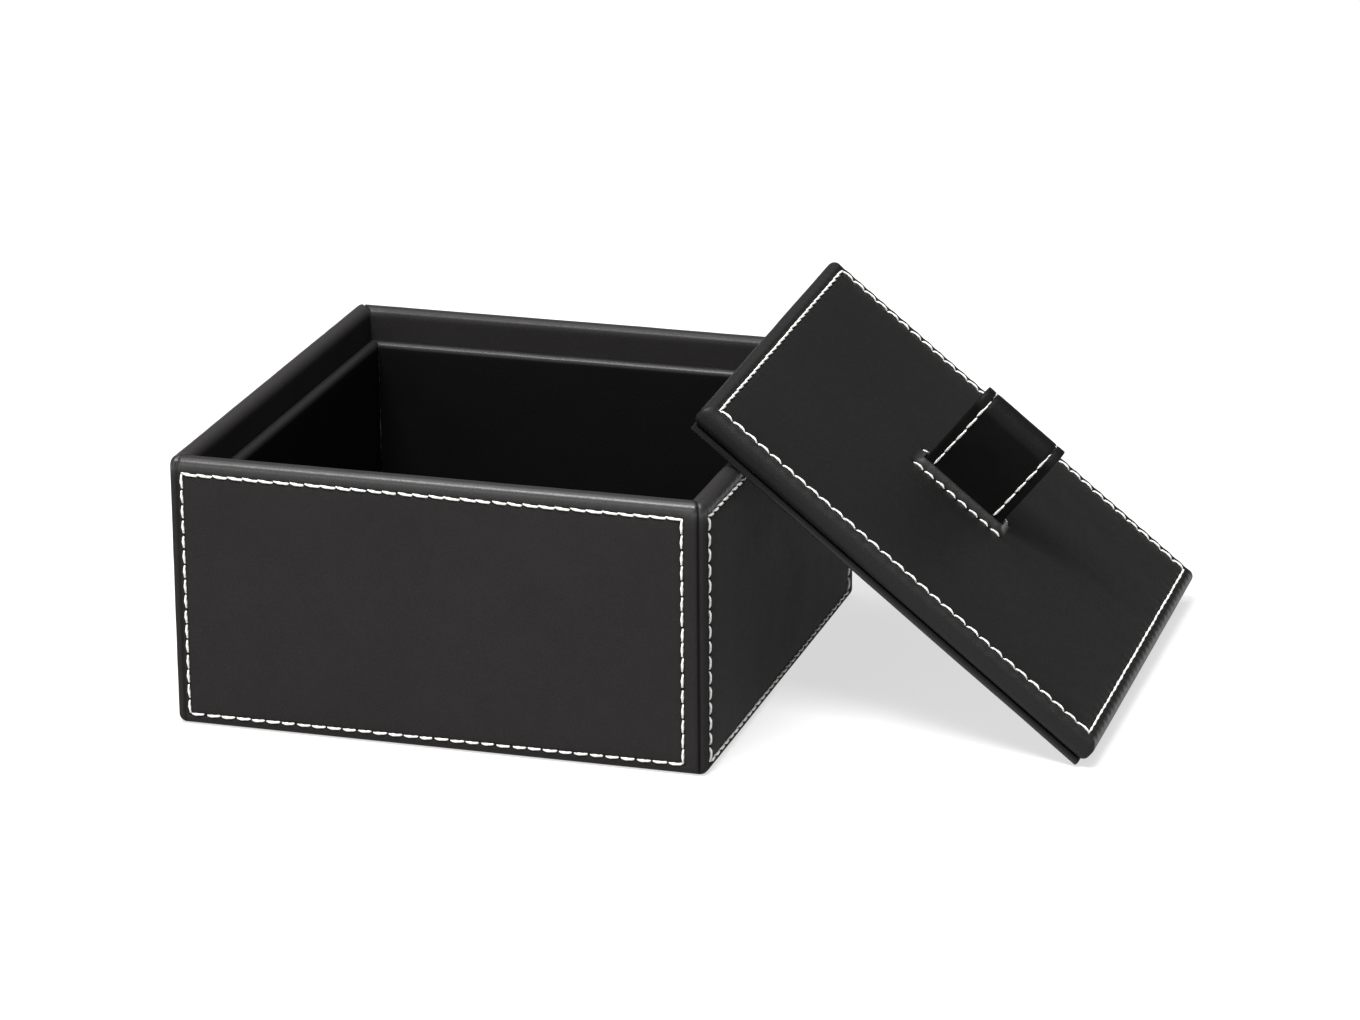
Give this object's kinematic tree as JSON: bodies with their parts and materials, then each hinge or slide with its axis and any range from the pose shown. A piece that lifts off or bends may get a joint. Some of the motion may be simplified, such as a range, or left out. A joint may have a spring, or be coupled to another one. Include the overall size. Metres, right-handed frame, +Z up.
{
  "type": "jewelry box",
  "caption": "Square jewelry box with padded, topstitched leatherette walls, a raised inner liner and a lift-off padded lid with a leather strap loop.",
  "frame": {"origin": "centre of the box's flat underside, on the surface it stands on", "axes": "+Z up, +X to the right and towards the leaning lid, +Y to the back"},
  "size_m": [0.2804, 0.1935, 0.1063],
  "materials": {
    "wall_leatherette": "fine-grained soft sheen",
    "liner_leatherette": "fine-grained, matt",
    "lid_leatherette": "fine-grained soft sheen",
    "lid_underside_leatherette": "fine-grained, matt",
    "base_sheet": "flocked, non-slip",
    "strap_leather": "smooth, satin",
    "strap_lining": "smooth, matt",
    "thread": "twisted polyester thread",
    "foam": "thin glued foam",
    "greyboard": "dense greyboard",
    "filler_card": "card"
  },
  "bodies": {
    "box": {"base_underside": "base_sheet", "base_board": "greyboard", "floor_board": "greyboard", "floor_lining": "liner_leatherette", "wall_cover_front": "wall_leatherette", "wall_padding_front": "foam", "wall_board_front": "greyboard", "wall_stitching_front": "thread", "liner_board_front": "greyboard", "liner_cover_front": "liner_leatherette", "wall_cover_right": "wall_leatherette", "wall_padding_right": "foam", "wall_board_right": "greyboard", "wall_stitching_right": "thread", "liner_board_right": "greyboard", "liner_cover_right": "liner_leatherette", "wall_cover_back": "wall_leatherette", "wall_padding_back": "foam", "wall_board_back": "greyboard", "wall_stitching_back": "thread", "liner_board_back": "greyboard", "liner_cover_back": "liner_leatherette", "wall_cover_left": "wall_leatherette", "wall_padding_left": "foam", "wall_board_left": "greyboard", "wall_stitching_left": "thread", "liner_board_left": "greyboard", "liner_cover_left": "liner_leatherette"},
    "lid": {"lid_cover": "lid_leatherette", "lid_padding": "foam", "lid_board": "greyboard", "lid_filler_card": "filler_card", "lid_base_board": "greyboard", "lid_base_cover": "lid_underside_leatherette", "lid_stitching": "thread", "slot_stitching": "thread", "handle_tails": "strap_leather"},
    "handle": {"handle_strap": "strap_leather", "handle_lining": "strap_lining", "handle_stitching": "thread"}
  },
  "joints": [
    {"name": "lid_lift", "type": "slide", "parent": "box", "child": "lid", "axis": [0, 0, 1], "range_m": [0, 0.12]},
    {"name": "handle_flex", "type": "hinge", "parent": "lid", "child": "handle", "pos_m": [0.13661, 0.0286, 0.06001], "axis": [0.7759, 0.0192, -0.6306], "range_deg": [-60, 60], "stiffness_Nm_per_rad": 0.02}
  ]
}
